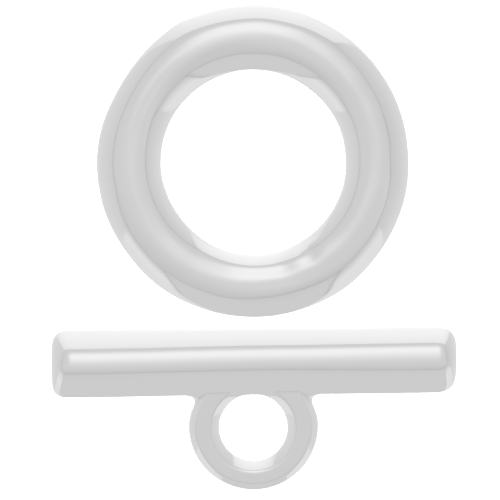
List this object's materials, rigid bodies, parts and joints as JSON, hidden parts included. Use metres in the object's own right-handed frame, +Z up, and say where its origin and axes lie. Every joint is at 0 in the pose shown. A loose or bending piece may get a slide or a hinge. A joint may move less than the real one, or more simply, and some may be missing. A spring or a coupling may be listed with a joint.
{
  "type": "toggle clasp",
  "caption": "Plain polished toggle clasp in two loose halves: a thick round ring, and a straight round bar with a small soldered loop.",
  "frame": {"origin": "on the surface that both halves lie on, under the middle of the bounding box", "axes": "+X along the bar to its right end as seen from above, +Y from the bar to the ring, +Z up from the surface"},
  "size_m": [0.0196, 0.0234, 0.0031],
  "materials": {
    "ring_silver": "polished sterling silver",
    "bar_silver": "polished sterling silver, loop soldered on"
  },
  "bodies": {
    "root": {"ring": "ring_silver", "toggle_bar": "bar_silver"}
  },
  "joints": []
}
